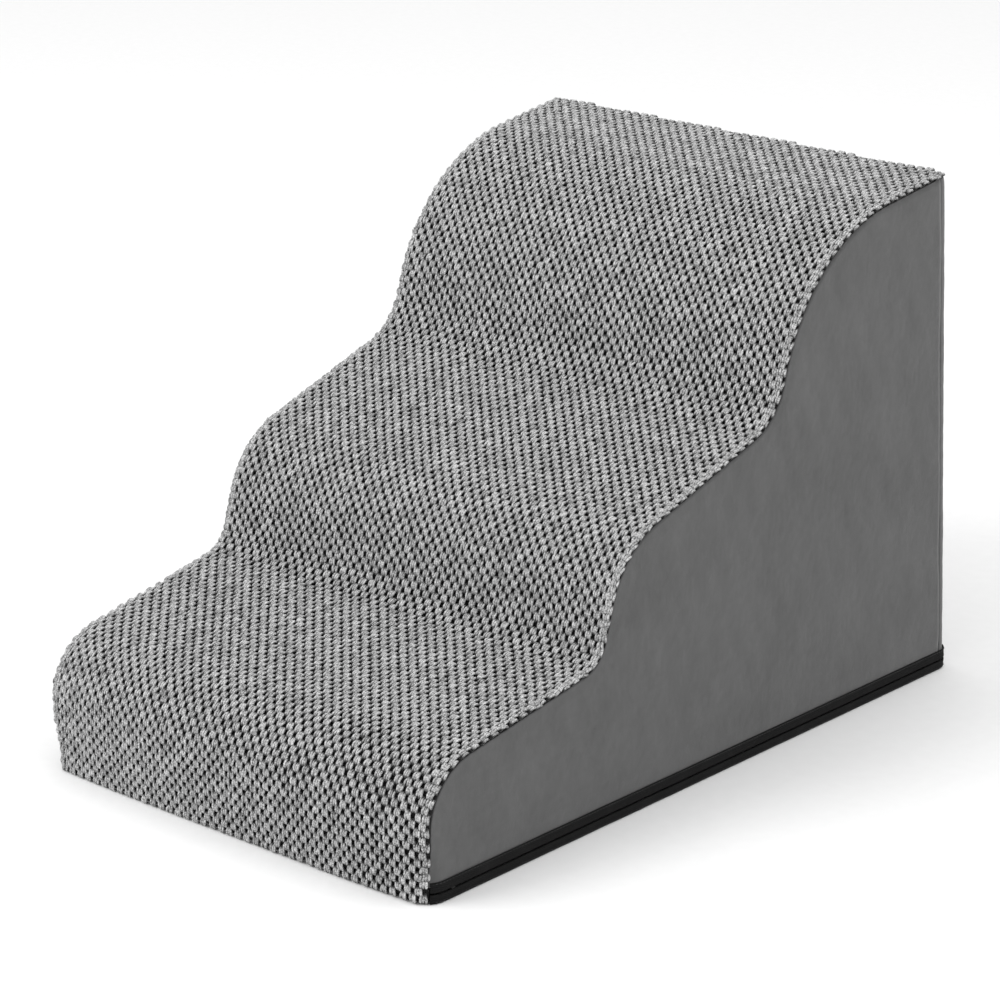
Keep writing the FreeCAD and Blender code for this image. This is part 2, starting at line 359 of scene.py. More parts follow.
@dataclass(frozen=True)
class Thread:
    """Twisted black sewing thread."""

    dark: float = 0.010
    light: float = 0.045

    def make(self) -> bpy.types.Material:
        """The thread's material."""
        graph = Graph("sewing_thread")
        twist = graph.wave(900.0, graph.stretched((1, 1, 1), (0.5, 0.6, 0.3)))
        return graph.shade(
            Base_Color=graph.tint(twist, self.dark, self.light),
            Roughness=0.6 + 0.2 * twist,
            Specular_IOR_Level=0.3,
            Normal=graph.bump(twist, 0.0001),
        )


@dataclass(frozen=True)
class MouldedNylon:
    """Smooth black nylon, a little scuffed."""

    def make(self) -> bpy.types.Material:
        """The nylon's material."""
        graph = Graph("coil_nylon")
        scuff = graph.noise(700.0, 4.0)
        return graph.shade(
            Base_Color=graph.tint(scuff.above(0.55, 0.8), 0.012, 0.05),
            Roughness=0.3 + 0.35 * scuff,
            Normal=graph.bump(scuff, 0.00005),
        )


@dataclass(frozen=True)
class LacqueredMetal:
    """Die-cast zinc in black lacquer, worn to grey in places."""

    lacquer: float = 0.004
    worn: float = 0.04

    def make(self) -> bpy.types.Material:
        """The metal's material."""
        graph = Graph("black_lacquer")
        patch = graph.noise(420.0, 5.0)
        scratch = graph.noise(1500.0, 2.0, graph.stretched((1.0, 0.1, 1.0)))
        edge = graph.node("ShaderNodeNewGeometry", output="Pointiness").above(0.52, 0.6)
        wear = edge * patch.above(0.5, 0.8) + 0.3 * scratch.above(0.66, 0.74)
        return graph.shade(
            Base_Color=graph.tint(wear, self.lacquer, self.worn),
            Metallic=0.8 * wear,
            Roughness=0.5 + 0.3 * patch,
            Specular_IOR_Level=0.3,
            Coat_Weight=0.08 - 0.08 * wear,
            Normal=graph.bump(patch, 0.00006),
        )


@dataclass(frozen=True)
class GripCloth:
    """Dark grey woven polyester on the underside."""

    dark: float = 0.018
    light: float = 0.055

    def make(self) -> bpy.types.Material:
        """The cloth's material."""
        graph = Graph("grip_cloth")
        warp = graph.wave(260.0, graph.place())
        weft = graph.wave(260.0, graph.stretched((1, 1, 1), (0, 0, math.pi / 2)))
        shift = graph.noise(30.0, 3.0)
        weave = 0.5 * warp + 0.5 * weft
        return graph.shade(
            Base_Color=graph.tint(0.7 * weave + 0.5 * (shift - 0.3), self.dark, self.light),
            Roughness=0.8 + 0.15 * shift,
            Normal=graph.bump(weave, 0.0003),
        )


@dataclass(frozen=True)
class GripRubber:
    """Black silicone print."""

    def make(self) -> bpy.types.Material:
        """The rubber's material."""
        graph = Graph("grip_rubber")
        dust = graph.noise(500.0, 4.0)
        return graph.shade(
            Base_Color=graph.tint(dust.above(0.4, 0.8), 0.010, 0.045),
            Roughness=0.45 + 0.35 * dust,
            Normal=graph.bump(dust, 0.0001),
        )


@dataclass(frozen=True)
class OpenCellFoam:
    """Cut polyurethane foam with open cells."""

    name: str
    cell: float
    dark: tuple[float, float, float]
    light: tuple[float, float, float]

    def make(self) -> bpy.types.Material:
        """The foam's material."""
        graph = Graph(self.name)
        sockets = {"Vector": graph.place(), "Scale": self.cell}
        cells = graph.node("ShaderNodeTexVoronoi", {"feature": "DISTANCE_TO_EDGE"}, sockets)
        walls = cells.above(0.02, 0.2)
        ageing = graph.noise(9.0, 4.0)
        return graph.shade(
            Base_Color=graph.tint(0.6 * walls + 0.6 * (ageing - 0.2), self.dark, self.light),
            Roughness=0.85 + 0.1 * ageing,
            Normal=graph.bump(walls, 0.0005),
        )


@dataclass(frozen=True)
class LinerCloth:
    """White non-woven cloth with a pressed dot pattern."""

    dark: float = 0.55
    light: float = 0.80

    def make(self) -> bpy.types.Material:
        """The liner's material."""
        graph = Graph("liner_nonwoven")
        sockets = {"Vector": graph.place(), "Scale": 420.0, "Randomness": 0.15}
        dots = graph.node("ShaderNodeTexVoronoi", {}, sockets).above(0.12, 0.3)
        fibre = graph.noise(900.0, 4.0)
        return graph.shade(
            Base_Color=graph.tint(0.5 * dots + 0.5 * fibre, self.dark, self.light),
            Roughness=0.8 + 0.15 * fibre,
            Normal=graph.bump(dots, 0.0002),
        )


@dataclass(frozen=True)
class StudioFloor:
    """Matt white sweep."""

    def make(self) -> bpy.types.Material:
        """The floor's material."""
        graph = Graph("studio_floor")
        grain = graph.noise(90.0, 3.0)
        return graph.shade(
            Base_Color=graph.tint(grain, 0.86, 0.90),
            Roughness=0.85 + 0.1 * grain,
            Specular_IOR_Level=0.1,
        )


# ---------------------------------------------------------------- mesh helpers


def make_piece(name: str, points: Array, faces: Sequence[Array]) -> Piece:
    """Smooth-shaded mesh object.

    Args:
        name: The piece's name.
        points: Vertices in millimetres, one row each.
        faces: Arrays of vertex numbers, one row per face; each array has one face size.

    Returns:
        The new object, at the origin.
    """
    mesh = bpy.data.meshes.new(name)
    mesh.vertices.add(len(points))
    mesh.vertices.foreach_set("co", (np.asarray(points) * MM).astype(np.float32).ravel())
    corners = np.concatenate([f.ravel() for f in faces]).astype(np.int32)
    sizes = np.concatenate([np.full(len(f), f.shape[1]) for f in faces])
    starts = np.concatenate([[0], np.cumsum(sizes)[:-1]]).astype(np.int32)
    mesh.loops.add(len(corners))
    mesh.loops.foreach_set("vertex_index", corners)
    mesh.polygons.add(len(sizes))
    mesh.polygons.foreach_set("loop_start", starts)
    mesh.update(calc_edges=True)
    mesh.validate()
    mesh.shade_smooth()
    piece = bpy.data.objects.new(name, mesh)
    bpy.context.scene.collection.objects.link(piece)
    return piece


def grid_faces(rows: int, columns: int, ring: bool = False) -> Array:
    """Quads of a grid of vertices numbered row by row.

    Args:
        rows: Number of rows of vertices.
        columns: Number of vertices in a row.
        ring: True if the last column joins the first.

    Returns:
        Vertex numbers, four to a row.
    """
    row = np.arange(rows - 1)[:, None] * columns
    here = np.arange(columns if ring else columns - 1)[None, :]
    after = (here + 1) % columns
    quads = [row + here, row + after, row + columns + after, row + columns + here]
    whole = np.broadcast(row, here).shape
    return np.stack([np.broadcast_to(quad, whole) for quad in quads], -1).reshape(-1, 4)


def many(faces: Array, copies: int, stride: int) -> Array:
    """The faces of one small mesh, repeated for many copies of it."""
    shift = (np.arange(copies) * stride)[:, None, None]
    return (faces[None] + shift).reshape(-1, faces.shape[1])


def unit(vectors: Array) -> Array:
    """The vectors at length 1."""
    return vectors / np.maximum(np.linalg.norm(vectors, axis=-1, keepdims=True), 1e-9)


def ripple(seed: int, longest: float, *where: Array) -> Array:
    """Smooth random unevenness, mostly between -1 and 1.

    Args:
        seed: Which pattern.
        longest: The longest wave, in millimetres.
        *where: Coordinates, in millimetres.

    Returns:
        One value for each place.
    """
    draw = np.random.default_rng(seed)
    total = np.zeros_like(where[0], dtype=float)
    for octave in range(3):
        for _ in range(4):
            turn = unit(draw.normal(size=len(where))) * 2 * math.pi / (longest / 1.9**octave)
            phase = draw.uniform(0, 2 * math.pi)
            total += np.sin(sum(k * w for k, w in zip(turn, where)) + phase) / 1.8**octave
    return total / 4.0


def thicken(piece: Piece, thickness: float) -> None:
    """Give a sheet its thickness, on its inner side.

    Args:
        piece: The sheet.
        thickness: In millimetres.
    """
    layer = piece.modifiers.new("thickness", "SOLIDIFY")
    layer.thickness = thickness * MM
    layer.offset = -1.0


def dress(piece: Piece, material: bpy.types.Material, slot: Slot, *nodes: str) -> Piece:
    """Give a piece its finish, the ramp's body to ride on and the CAD nodes it stands for.

    Args:
        piece: The piece.
        material: Its material.
        slot: The record's slot that the finish belongs to; not used.
        *nodes: The CAD nodes that it replaces.

    Returns:
        The piece.
    """
    piece.data.materials.append(material)
    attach(piece, "ramp")
    if nodes:
        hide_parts(*nodes)
    LOG.info("%s: %d faces", piece.name, len(piece.data.polygons))
    return piece


# ---------------------------------------------------------------- outlines


def rounded_outline(corners: Sequence[tuple[float, float, float]], step: float) -> tuple[Array, Array]:
    """Walk round a closed outline with rounded corners.

    Args:
        corners: Each corner's two coordinates and its radius.
        step: Greatest distance between points, in millimetres.

    Returns:
        The points and the outward normals, from the first corner on; the first point isn't
        repeated at the end.
    """
    places = np.array([c[:2] for c in corners], float)
    ahead = np.roll(places, -1, axis=0)
    turning = np.sign(np.sum(places[:, 0] * ahead[:, 1] - places[:, 1] * ahead[:, 0]))
    ends = []
    for i, (_, _, radius) in enumerate(corners):
        here = places[i]
        to_last, to_next = unit(places[i - 1] - here), unit(ahead[i] - here)
        opening = math.acos(float(np.clip(to_last @ to_next, -1, 1))) / 2
        reach = radius / math.tan(opening)
        centre = here + unit(to_last + to_next) * radius / math.sin(opening)
        ends.append((here + to_last * reach, here + to_next * reach, centre, radius))
    points, normals = [], []
    for i, (start, stop, centre, radius) in enumerate(ends):
        if radius > 0:
            first = math.atan2(*(start - centre)[::-1])
            sweep = math.atan2(*(stop - centre)[::-1]) - first
            sweep = (sweep + math.pi) % (2 * math.pi) - math.pi
            outward = np.sign(sweep) * turning
            for share in np.linspace(0, 1, max(4, round(abs(sweep) * radius / step)), endpoint=False):
                spoke = np.array([math.cos(first + sweep * share), math.sin(first + sweep * share)])
                points.append(centre + radius * spoke)
                normals.append(spoke * outward)
        following = ends[(i + 1) % len(ends)][0]
        run = following - stop
        normal = unit(np.array([run[1], -run[0]])) * turning
        for share in np.linspace(0, 1, max(2, round(np.linalg.norm(run) / step)), endpoint=False):
            points.append(stop + run * share)
            normals.append(normal)
    return np.array(points), np.array(normals)


@dataclass(frozen=True)
class Block:
    """The ramp's outer form: its side profile and its outline from above."""

    width: float = 396.0
    length: float = 610.0
    height: float = 408.0
    nose_taper: float = 10.0
    back_lean: float = 18.0
    corner_radius: float = 16.0
    nose_radius: float = 7.0
    side_draft: float = 4.5
    nose_bow: float = 6.0
    bow_top: float = 118.0
    band_top: float = 14.0
    crest_radius: float = 10.0
    crest_rise: float = 1.12
    tiers: tuple[tuple[float, float, float], ...] = (
        (-305.0, 97.0, 52.0),
        (-126.0, 127.0, 26.0),
        (-102.0, 206.0, 74.0),
        (71.0, 260.0, 50.0),
        (110.0, 387.0, 150.0),
    )

    @property
    def front(self) -> float:
        """Y of the front foot."""
        return -self.length / 2

    @property
    def back(self) -> float:
        """Y of the back foot."""
        return self.length / 2

    def lean_at(self, z: Array | float) -> Array | float:
        """How far forward the outline stands at a height."""
        return self.back_lean * z / self.height

    def profile(self, step: float) -> tuple[Array, Array]:
        """Points (y, z) and normals from the front foot over the wave to the crest's far end."""
        crest = (self.back - self.back_lean, self.height + self.crest_rise, self.crest_radius)
        corners = [(self.front, 0.0, 0.0), *self.tiers, crest, (self.back, 0.0, 0.0)]
        points, normals = rounded_outline(corners, step)
        upright = np.argmax((points[:, 0] > 0) & (normals[:, 0] > 0.985))
        return points[:upright], normals[:upright]

    def plan(self, step: float) -> tuple[Array, Array]:
        """Points (x, y) and normals round the foot, from the left front corner rightwards."""
        nose, tail, radius = self.width / 2 - self.nose_taper, self.width / 2, self.corner_radius
        corners = [
            (-nose, self.front, radius),
            (nose, self.front, radius),
            (tail, self.back, radius),
            (-tail, self.back, radius),
        ]
        return rounded_outline(corners, step)

    def front_radius(self, z: Array) -> Array:
        """Radius of the front corners: wide at the zip band, tighter where the nose bulges."""
        share = np.clip((np.asarray(z, float) - self.band_top) / 30.0, 0, 1)
        return self.corner_radius + (self.nose_radius - self.corner_radius) * share

    def side_x(self, y: Array, z: Array, depth: float = 0.0) -> Array:
        """Distance of a side wall from the middle plane, rounded at its upright corners.

        Args:
            y: Places along the ramp.
            z: Heights.
            depth: How far in from the outer face.

        Returns:
            The distances, in millimetres.
        """
        along = y + self.lean_at(z)
        flat = self.width / 2 - self.nose_taper * (self.back - along) / self.length
        flat = flat - self.side_draft * z / self.height
        radius = np.where(along < 0, self.front_radius(z), self.corner_radius)
        past = np.maximum(self.front + radius - along, along - self.back + radius)
        bend = np.clip(past, 0, radius - depth)
        return flat - radius + np.sqrt(np.maximum((radius - depth) ** 2 - bend**2, 0))

    def front_y(self, x: Array, z: Array) -> Array:
        """Y of the front face at a place across and a height, bowed and rounded at its ends."""
        radius = self.front_radius(z)
        half = self.width / 2 - self.nose_taper
        past = np.clip(np.abs(x) - (half - radius), 0, radius * 0.98)
        return self.front + radius - np.sqrt(radius**2 - past**2) - self.bow(x, z)

    def bow(self, x: Array, z: Array) -> Array:
        """How far the stuffed nose swells out between its corners."""
        across = 1 - (x / (self.width / 2)) ** 4
        fade = np.clip((self.bow_top - z) / 50.0, 0, 1)
        return self.nose_bow * across * (0.7 + 0.3 * np.clip(z / 40.0, 0, 1)) * fade


BLOCK = Block()


def spaced(points: Array, gap: float) -> tuple[Array, Array]:
    """Distance along a line of points, and evenly spaced distances on it.

    Args:
        points: The line.
        gap: About how far apart.

    Returns:
        The distance at each point, and the even distances.
    """
    runs = np.linalg.norm(np.diff(points, axis=0), axis=1)
    distance = np.concatenate([[0.0], np.cumsum(runs)])
    return distance, np.linspace(0, distance[-1], max(2, round(distance[-1] / gap)))


def read(distance: Array, values: Array, at: Array) -> Array:
    """Values along a line, read at other distances."""
    return np.stack([np.interp(at, distance, values[:, i]) for i in range(values.shape[1])], -1)


# ---------------------------------------------------------------- loop fabric


@dataclass(frozen=True)
class Unevenness:
    """How much the knobs differ, as standard deviations."""

    place: float = 0.14
    length: float = 0.03
    slant: float = 0.07
    strand_slant: float = 0.05
    fan: float = 0.06
    crossing: float = 0.25
    top: float = 0.16
    strand_top: float = 0.12
    strand: float = 0.06
    tone: float = 0.07
    strand_tone: float = 0.13


@dataclass
class LoopFabric:
    """The knobbly tread fabric: rows of yarn knobs on a dark knitted ground, dark partly as painted
    shade.
    """

    knob_pitch: float = 8.7
    row_slope: float = 0.075
    level_rows: float = 120.0
    row_pitch: float = 5.0
    knob_length: float = 7.25
    half_fan: float = 1.93
    strand: float = 1.0
    ground_depth: float = 4.1
    ground_thick: float = 0.9
    first_row: float = 4.0
    crest_seam: float = 9.0
    seam_gap: float = 1.5
    side_seams: float = 12.0
    root: float = 0.6
    front_inset: float = 5.0
    ground_inset: float = 1.6
    slant: float = 0.02
    crown_depth: float = 0.6
    middle_drop: float = 0.15
    overhang: float = 2.6
    edge_turn: float = 3.2
    nose_height: float = 80.0
    floor_gap: float = 0.4
    sections: int = 8
    sides: int = 5
    rings: int = 5
    ground_columns: int = 100
    uneven: Unevenness = Unevenness()
    block: Block = BLOCK
    draw: np.random.Generator = field(default_factory=lambda: np.random.default_rng(SEED))

    def seam_distance(self, points: Array, distance: Array) -> float:
        """Distance along the wave of the seam by the crest."""
        crest = self.block.back - self.block.back_lean - self.crest_seam
        return float(distance[np.argmax(points[:, 0] > crest)])

    def lattice(self) -> tuple[Array, Array, Array]:
        """Rows of knobs, each row set half a pitch from the last.

        Returns:
            Each knob's place across, its distance along the wave, and its row's number.
        """
        points, _ = self.block.profile(0.5)
        distance, _ = spaced(points, 1.0)
        last = self.seam_distance(points, distance) - self.seam_gap
        reach = self.row_slope * self.block.width / 2
        rows = np.arange(self.first_row, last + reach, self.row_pitch)
        columns = np.arange(-25, 26)
        row, column = np.meshgrid(np.arange(len(rows)), columns, indexing="ij")
        across = (column + 0.5 * (row % 2)) * self.knob_pitch
        slope = self.row_slope * np.clip(rows / self.level_rows, 0, 1)
        along = rows[row] + slope[row] * across
        across = across + self.draw.normal(0, self.uneven.place, across.shape)
        along = along + self.draw.normal(0, self.uneven.place, along.shape)
        kept = along <= last
        return across[kept], along[kept], row[kept]

    def stand(self) -> tuple[Array, Array, Array]:
        """Where each knob stands, and its own directions.

        Returns:
            Each knob's base on the outer surface, its directions across, along and out as one
            array, and its row.
        """
        across, along, row = self.lattice()
        points, normals = self.block.profile(0.5)
        distance, _ = spaced(points, 1.0)
        place = read(distance, points, along)
        normal = unit(read(distance, normals, along))
        y, z = place[:, 0], place[:, 1]
        edge = self.block.side_x(np.maximum(y, self.block.front + self.front_inset), z)
        inside = np.abs(across) < edge + self.overhang
        across, y, z, normal, row, edge = (v[inside] for v in (across, y, z, normal, row, edge))
        brink = edge - self.edge_turn
        over = np.clip((np.abs(across) - brink) / (self.edge_turn + self.overhang), 0, 1)
        sign = np.sign(across)
        x = np.where(over > 0, sign * (brink + self.edge_turn / 2 * over), across)
        y = y - self.block.bow(x, z) * np.clip(-normal[:, 0], 0, 1)
        corner = self.block.front_y(x, z)
        low = z < self.nose_height
        turned = np.clip((corner - y) / 2.0, 0, 1) * low
        y = np.where(low, np.maximum(y, corner), y)
        radius = self.block.front_radius(z)
        centre = self.block.width / 2 - self.block.nose_taper - radius
        past = np.clip((np.abs(x) - centre) / radius, 0, 0.85)
        out = np.stack([sign * past * turned, normal[:, 0], normal[:, 1]], -1)
        out = unit(out + np.stack([sign * 0.4 * over, 0 * x, 0 * x], -1))
        level = np.stack([0 * x, -normal[:, 1], normal[:, 0]], -1)
        level[:, 1:] *= np.sign(level @ np.array([0, 1.0, 1.0]))[:, None]
        ahead = unit(level - out * np.sum(level * out, -1, keepdims=True))
        right = np.cross(ahead, out)
        base = np.stack([x, y, z], -1) - out * (0.5 * over)[:, None]
        return base, np.stack([right, ahead, out], 1), row

    def strands(self, count: int) -> tuple[Array, Array, Array]:
        """Centre lines of every knob's three strands, in its own directions.

        Args:
            count: Number of knobs.

        Returns:
            Points as knob, strand, point and direction; the radius at each; each strand's tone.
        """
        share = np.linspace(0, 1, self.rings + 2)[None, None, :]
        lift = np.sin(math.pi * share)
        fan = np.array([-1.0, 0.0, 1.0])[None, :, None]
        size = (count, 3, 1)
        each = (count, 1, 1)
        draw, uneven = self.draw, self.uneven
        length = self.knob_length * (1 + draw.normal(0, uneven.length, each))
        slant = self.slant + draw.normal(0, uneven.slant, each)
        slant = slant + draw.normal(0, uneven.strand_slant, size)
        spread = self.half_fan * (1 + draw.normal(0, uneven.fan, size))
        cross = draw.normal(0, uneven.crossing, size)
        top = draw.normal(0, uneven.top, each) + draw.normal(0, uneven.strand_top, size)
        top = top - self.crown_depth - self.middle_drop * (fan == 0)
        ahead = -0.5 * length * np.cos(math.pi * share)
        across = slant * ahead * lift + fan * spread * lift**0.36 + cross * np.sin(2 * math.pi * share)
        out = -self.ground_depth - self.root + (self.ground_depth + self.root + top) * lift**0.75
        thick = self.strand * (1 + draw.normal(0, uneven.strand, size)) * (0.74 + 0.26 * lift)
        tone = 0.5 + draw.normal(0, uneven.tone, (count, 1))
        tone = np.clip(tone + draw.normal(0, uneven.strand_tone, (count, 3)), 0, 1)
        return np.stack([across, ahead + 0 * across, out + 0 * across], -1), thick, tone

    def tubes(self, lines: Array, thick: Array) -> Array:
        """Vertices of the strands: a point at each end and rings in between.

        Args:
            lines: Centre lines, as strand, point and direction.
            thick: Radius at each point.

        Returns:
            Vertices, as strand, vertex and direction.
        """
        heading = unit(lines[:, 2:] - lines[:, :-2])
        side = unit(np.cross(heading, np.array([0.0, 0.0, 1.0])))
        crown = np.cross(side, heading)
        turn = np.arange(self.sides) * 2 * math.pi / self.sides + math.pi / 2
        spoke = side[:, :, None] * np.cos(turn)[:, None] + crown[:, :, None] * np.sin(turn)[:, None]
        rings = lines[:, 1:-1, None] + thick[:, 1:-1, None, None] * spoke
        return np.concatenate([lines[:, :1], rings.reshape(len(lines), -1, 3), lines[:, -1:]], 1)

    def strand_faces(self) -> tuple[Array, Array]:
        """Triangles at the ends, and quads between the rings, of one strand."""
        around = np.arange(self.sides)
        after = (around + 1) % self.sides
        last = 1 + (self.rings - 1) * self.sides
        tip = np.full(self.sides, 1 + self.rings * self.sides)
        start = np.stack([0 * around, 1 + after, 1 + around], -1)
        stop = np.stack([tip, last + around, last + after], -1)
        return np.concatenate([start, stop]), 1 + grid_faces(self.rings, self.sides, ring=True)

    def build(self, yarn: bpy.types.Material, ground: bpy.types.Material) -> list[Piece]:
        """Make the ground and the knobs.

        Args:
            yarn: The knobs' material.
            ground: The ground's material.

        Returns:
            The ground first, then the knobs in sections from the nose up.
        """
        base, directions, row = self.stand()
        lines, thick, tone = self.strands(len(base))
        tubes = self.tubes(lines.reshape(-1, *lines.shape[2:]), thick.reshape(-1, thick.shape[-1]))
        tubes = tubes.reshape(len(base), 3, -1, 3)
        height = tubes[..., 2]
        placed = base[:, None, None] + np.einsum("ksvi,kij->ksvj", tubes, directions)
        placed[..., 2] = np.maximum(placed[..., 2], self.floor_gap)
        ends, rings = self.strand_faces()
        stride = tubes.shape[2]
        section = row * self.sections // (row.max() + 1)
        loops = []
        for number in range(self.sections):
            mine = section == number
            strands = int(mine.sum()) * 3
            faces = [many(ends, strands, stride), many(rings, strands, stride)]
            piece = make_piece(f"tread_loops_{number + 1}", placed[mine].reshape(-1, 3), faces)
            tones = np.broadcast_to(tone[mine][..., None], (int(mine.sum()), 3, stride))
            self.note(piece, "tone", tones)
            # rise is each vertex's height over the ground; the yarn's material paints shade where it is
            # low.
            self.note(piece, "rise", 1 + height[mine] / self.ground_depth)
            loops.append(dress(piece, yarn, Slot.LOOP_FABRIC, "cover_tread"))
        return [self.ground(ground), *loops]

    @staticmethod
    def note(piece: Piece, name: str, values: Array) -> None:
        """Write one number on each vertex."""
        layer = piece.data.attributes.new(name, "FLOAT", "POINT")
        layer.data.foreach_set("value", np.ascontiguousarray(values, dtype=np.float32).ravel())

    def ground(self, material: bpy.types.Material) -> Piece:
        """The knitted ground, from the front foot to the seam by the crest.

        Args:
            material: Its material.

        Returns:
            The sheet.
        """
        points, normals = self.block.profile(0.5)
        distance, _ = spaced(points, 1.0)
        at = np.arange(2.5, self.seam_distance(points, distance), 3.0)
        normal = unit(read(distance, normals, at))
        place = read(distance, points, at) - self.ground_depth * normal
        y, z = place[:, :1], place[:, 1:]
        share = np.linspace(-1, 1, self.ground_columns)[None, :]
        foremost = self.block.front + self.front_inset + 0.5
        edge = self.block.side_x(np.maximum(y, foremost), z, self.ground_inset)
        x = share * edge
        y = y - self.block.bow(x, z) * np.clip(-normal[:, :1], 0, 1)
        lip = self.block.front_y(x, z) + self.ground_depth
        y = np.where(z < self.nose_height, np.maximum(y, lip), y)
        grid = np.stack([x, y, z + 0 * x], -1)
        faces = grid_faces(len(at), self.ground_columns)
        piece = make_piece("tread_ground", grid.reshape(-1, 3), [faces])
        thicken(piece, self.ground_thick)
        return dress(piece, material, Slot.LOOP_FABRIC, "cover_tread")

    def flat(self) -> tuple[float, float]:
        """Width and length that the ground was cut to, in metres."""
        points, _ = self.block.profile(0.5)
        distance, _ = spaced(points, 1.0)
        return (self.block.width - self.side_seams) * MM, self.seam_distance(points, distance) * MM


# ---------------------------------------------------------------- suede


@dataclass
class SuedePanels:
    """The two side panels, and the back panel that rolls over the crest."""

    depth: float = 1.0
    thick: float = 1.4
    foot: float = 13.0
    band_top: float = 17.0
    tuck: float = 4.4
    seam_back: float = 18.0
    seam_lean: float = 16.0
    crest_seam: float = 9.0
    crest_drop: float = 2.6
    roll: float = 10.0
    wave: float = 170.0
    crease: float = 24.0
    side_wave: float = 0.7
    side_crown: float = 0.9
    side_pinch: float = 1.1
    back_crown: float = 2.4
    back_pinch: float = 0.35
    block: Block = BLOCK

    def side(self, side: Side, material: bpy.types.Material) -> Piece:
        """One side panel, between the tread seam, the zip band and the back seam.

        Args:
            side: Which wall.
            material: The suede.

        Returns:
            The panel.
        """
        points, normals = self.block.profile(0.5)
        edge = points - self.tuck * normals
        last_y = self.block.back - self.seam_lean - self.seam_back
        edge = edge[(edge[:, 1] >= self.foot) & (edge[:, 0] <= last_y)]
        distance, at = spaced(edge, 3.0)
        top = read(distance, edge, at)
        share = at[:, None] / at[-1]
        last = self.block.back - self.seam_back
        low_y = top[0, 0] + share * (last - top[0, 0])
        rows = np.linspace(0, 1, 90)[None, :]
        rows = rows + 0.02 * np.sin(2 * math.pi * rows)
        y = low_y + (top[:, :1] - low_y) * rows
        z = self.foot + (top[:, 1:] - self.foot) * rows
        gap = self.edge_gap(y, z, top)
        fullness = self.side_wave * ripple(SEED + side.value, self.wave, y, z)
        fullness += self.side_crown * np.clip(gap / 60, 0, 1)
        fullness -= self.side_pinch * np.exp(-gap / 2.6)
        fullness += 0.22 * ripple(SEED + 3 * side.value, self.crease, y, z)
        fullness *= np.clip(gap / 8, 0.25, 1) * np.clip((z - self.band_top) / 12, 0, 1)
        x = self.block.side_x(y, z, self.depth) + fullness
        grid = np.stack([side.value * x, y, z], -1)
        faces = grid_faces(*y.shape)
        faces = faces[:, ::-1] if side is Side.LEFT else faces
        name = f"side_panel_{side.name.lower()}"
        piece = make_piece(name, grid.reshape(-1, 3), [faces[:, ::-1]])
        thicken(piece, self.thick)
        return dress(piece, material, Slot.SUEDE, f"cover_side_{side.name.lower()}")

    @staticmethod
    def edge_gap(y: Array, z: Array, edge: Array) -> Array:
        """Distance of each place from the nearest point of the seam."""
        gap = np.full(y.shape, 1e9)
        for i in range(0, len(edge), 2):
            gap = np.minimum(gap, np.hypot(y - edge[i, 0], z - edge[i, 1]))
        return gap

    def back(self, material: bpy.types.Material) -> Piece:
        """The back panel with its two corners and its roll over the crest.

        Args:
            material: The suede.

        Returns:
            The panel.
        """
        block = self.block
        outline, outward = block.plan(2.0)
        mine = outline[:, 1] >= block.back - self.seam_back
        outline, outward = outline[mine], outward[mine]
        spot = outline - self.depth * outward
        inward = self.inward_run(spot, outward)
        top = block.height - self.crest_drop
        rows = np.linspace(0, 1, 96)
        heights = self.foot + (top - self.roll - self.foot) * rows
        columns = len(spot)
        grid = []
        for z in heights:
            grid.append(np.column_stack([spot, np.full(columns, z)]))
        bend = np.minimum(self.roll, np.maximum(inward, 2.0))[:, None]
        for angle in np.linspace(0, math.pi / 2, 9)[1:]:
            inset = bend * (1 - math.cos(angle))
            rise = top - self.roll + self.roll * math.sin(angle)
            grid.append(np.column_stack([spot - outward * inset, np.full(columns, rise)]))
        for share in (0.35, 0.7, 1.0):
            inset = bend + share * np.maximum(inward[:, None] - bend, 0)
            grid.append(np.column_stack([spot - outward * inset, np.full(columns, top)]))
        grid = np.stack(grid)
        grid[..., 1] -= block.lean_at(grid[..., 2])
        grid[len(heights) + 8:, :, 2] -= 0.4
        grid[..., 0] *= 1 - block.side_draft * grid[..., 2] / block.height / (block.width / 2)
        x, z = grid[..., 0], grid[..., 2]
        inner = np.clip((block.width / 2 - np.abs(x)) / 60, 0, 1)
        upper = np.clip((block.height - z) / 60, 0, 1) * np.clip((z - self.band_top) / 30, 0, 1)
        swell = (self.back_crown + 0.9 * ripple(SEED + 8, self.wave, x, z)) * inner * upper
        swell = swell + 0.2 * ripple(SEED + 9, self.crease, x, z) * upper
        seam = np.minimum(np.arange(columns), np.arange(columns)[::-1]) * 2.0
        swell = swell - self.back_pinch * np.exp(-seam / 1.6)[None, :]
        grid[..., :2] += outward[None] * swell[..., None]
        faces = grid_faces(len(grid), columns)
        piece = make_piece("back_panel", grid.reshape(-1, 3), [faces])
        thicken(piece, self.thick)
        return dress(piece, material, Slot.SUEDE, "cover_back")

    def inward_run(self, spot: Array, outward: Array) -> Array:
        """How far over the crest the panel runs in from each place before it meets the seam.

        Args:
            spot: Places (x, y) on the panel's foot.
            outward: The normals there.

        Returns:
            The distances; small on the side walls.
        """
        seam = self.block.back - self.crest_seam
        facing = np.maximum(outward[:, 1], 0.05)
        return np.clip((spot[:, 1] - seam) / facing, 2.0, 14.0)

    def build(self, material: bpy.types.Material) -> list[Piece]:
        """The left, right and back panels."""
        return [self.side(Side.LEFT, material), self.side(Side.RIGHT, material), self.back(material)]


# ---------------------------------------------------------------- zip


